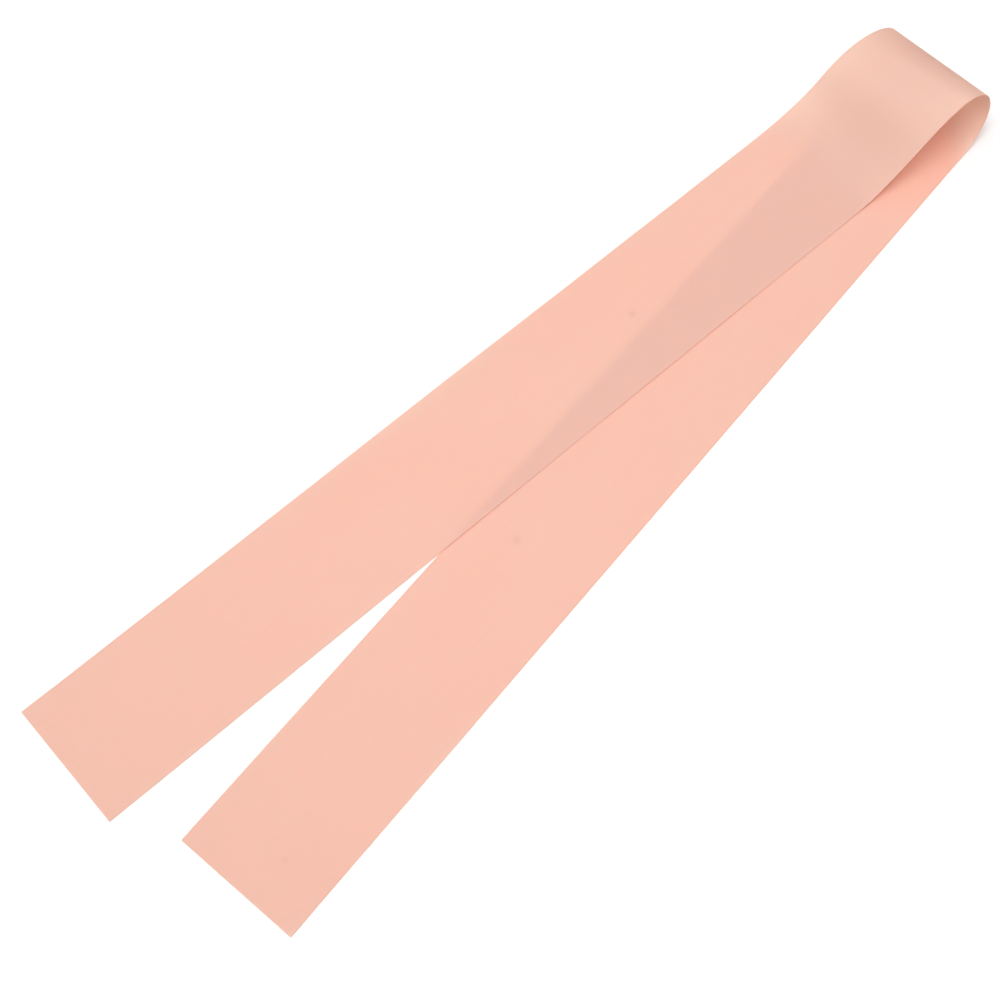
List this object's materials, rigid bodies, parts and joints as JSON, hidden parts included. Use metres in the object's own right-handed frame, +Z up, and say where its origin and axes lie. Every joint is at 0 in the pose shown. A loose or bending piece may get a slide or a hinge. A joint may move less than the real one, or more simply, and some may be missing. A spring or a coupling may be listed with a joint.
{
  "type": "satin sash",
  "caption": "Long satin ribbon sash laid flat and turned back on itself in a soft open loop, its square-cut ends fanned apart.",
  "frame": {"origin": "centre of the laid sash's bounding box, on the surface it lies on", "axes": "+Z up from the surface; +Y along the sash from its cut ends to the loop; +X across it along the fold, towards the under strand's end"},
  "size_m": [0.2308, 0.8252, 0.0563],
  "materials": {
    "satin": "smooth satin weave in pale peach pink, soft sheen, heat-sealed edges without a hem"
  },
  "bodies": {
    "root": {"under_strand": "satin", "fold_loop": "satin", "over_strand": "satin"}
  },
  "joints": []
}
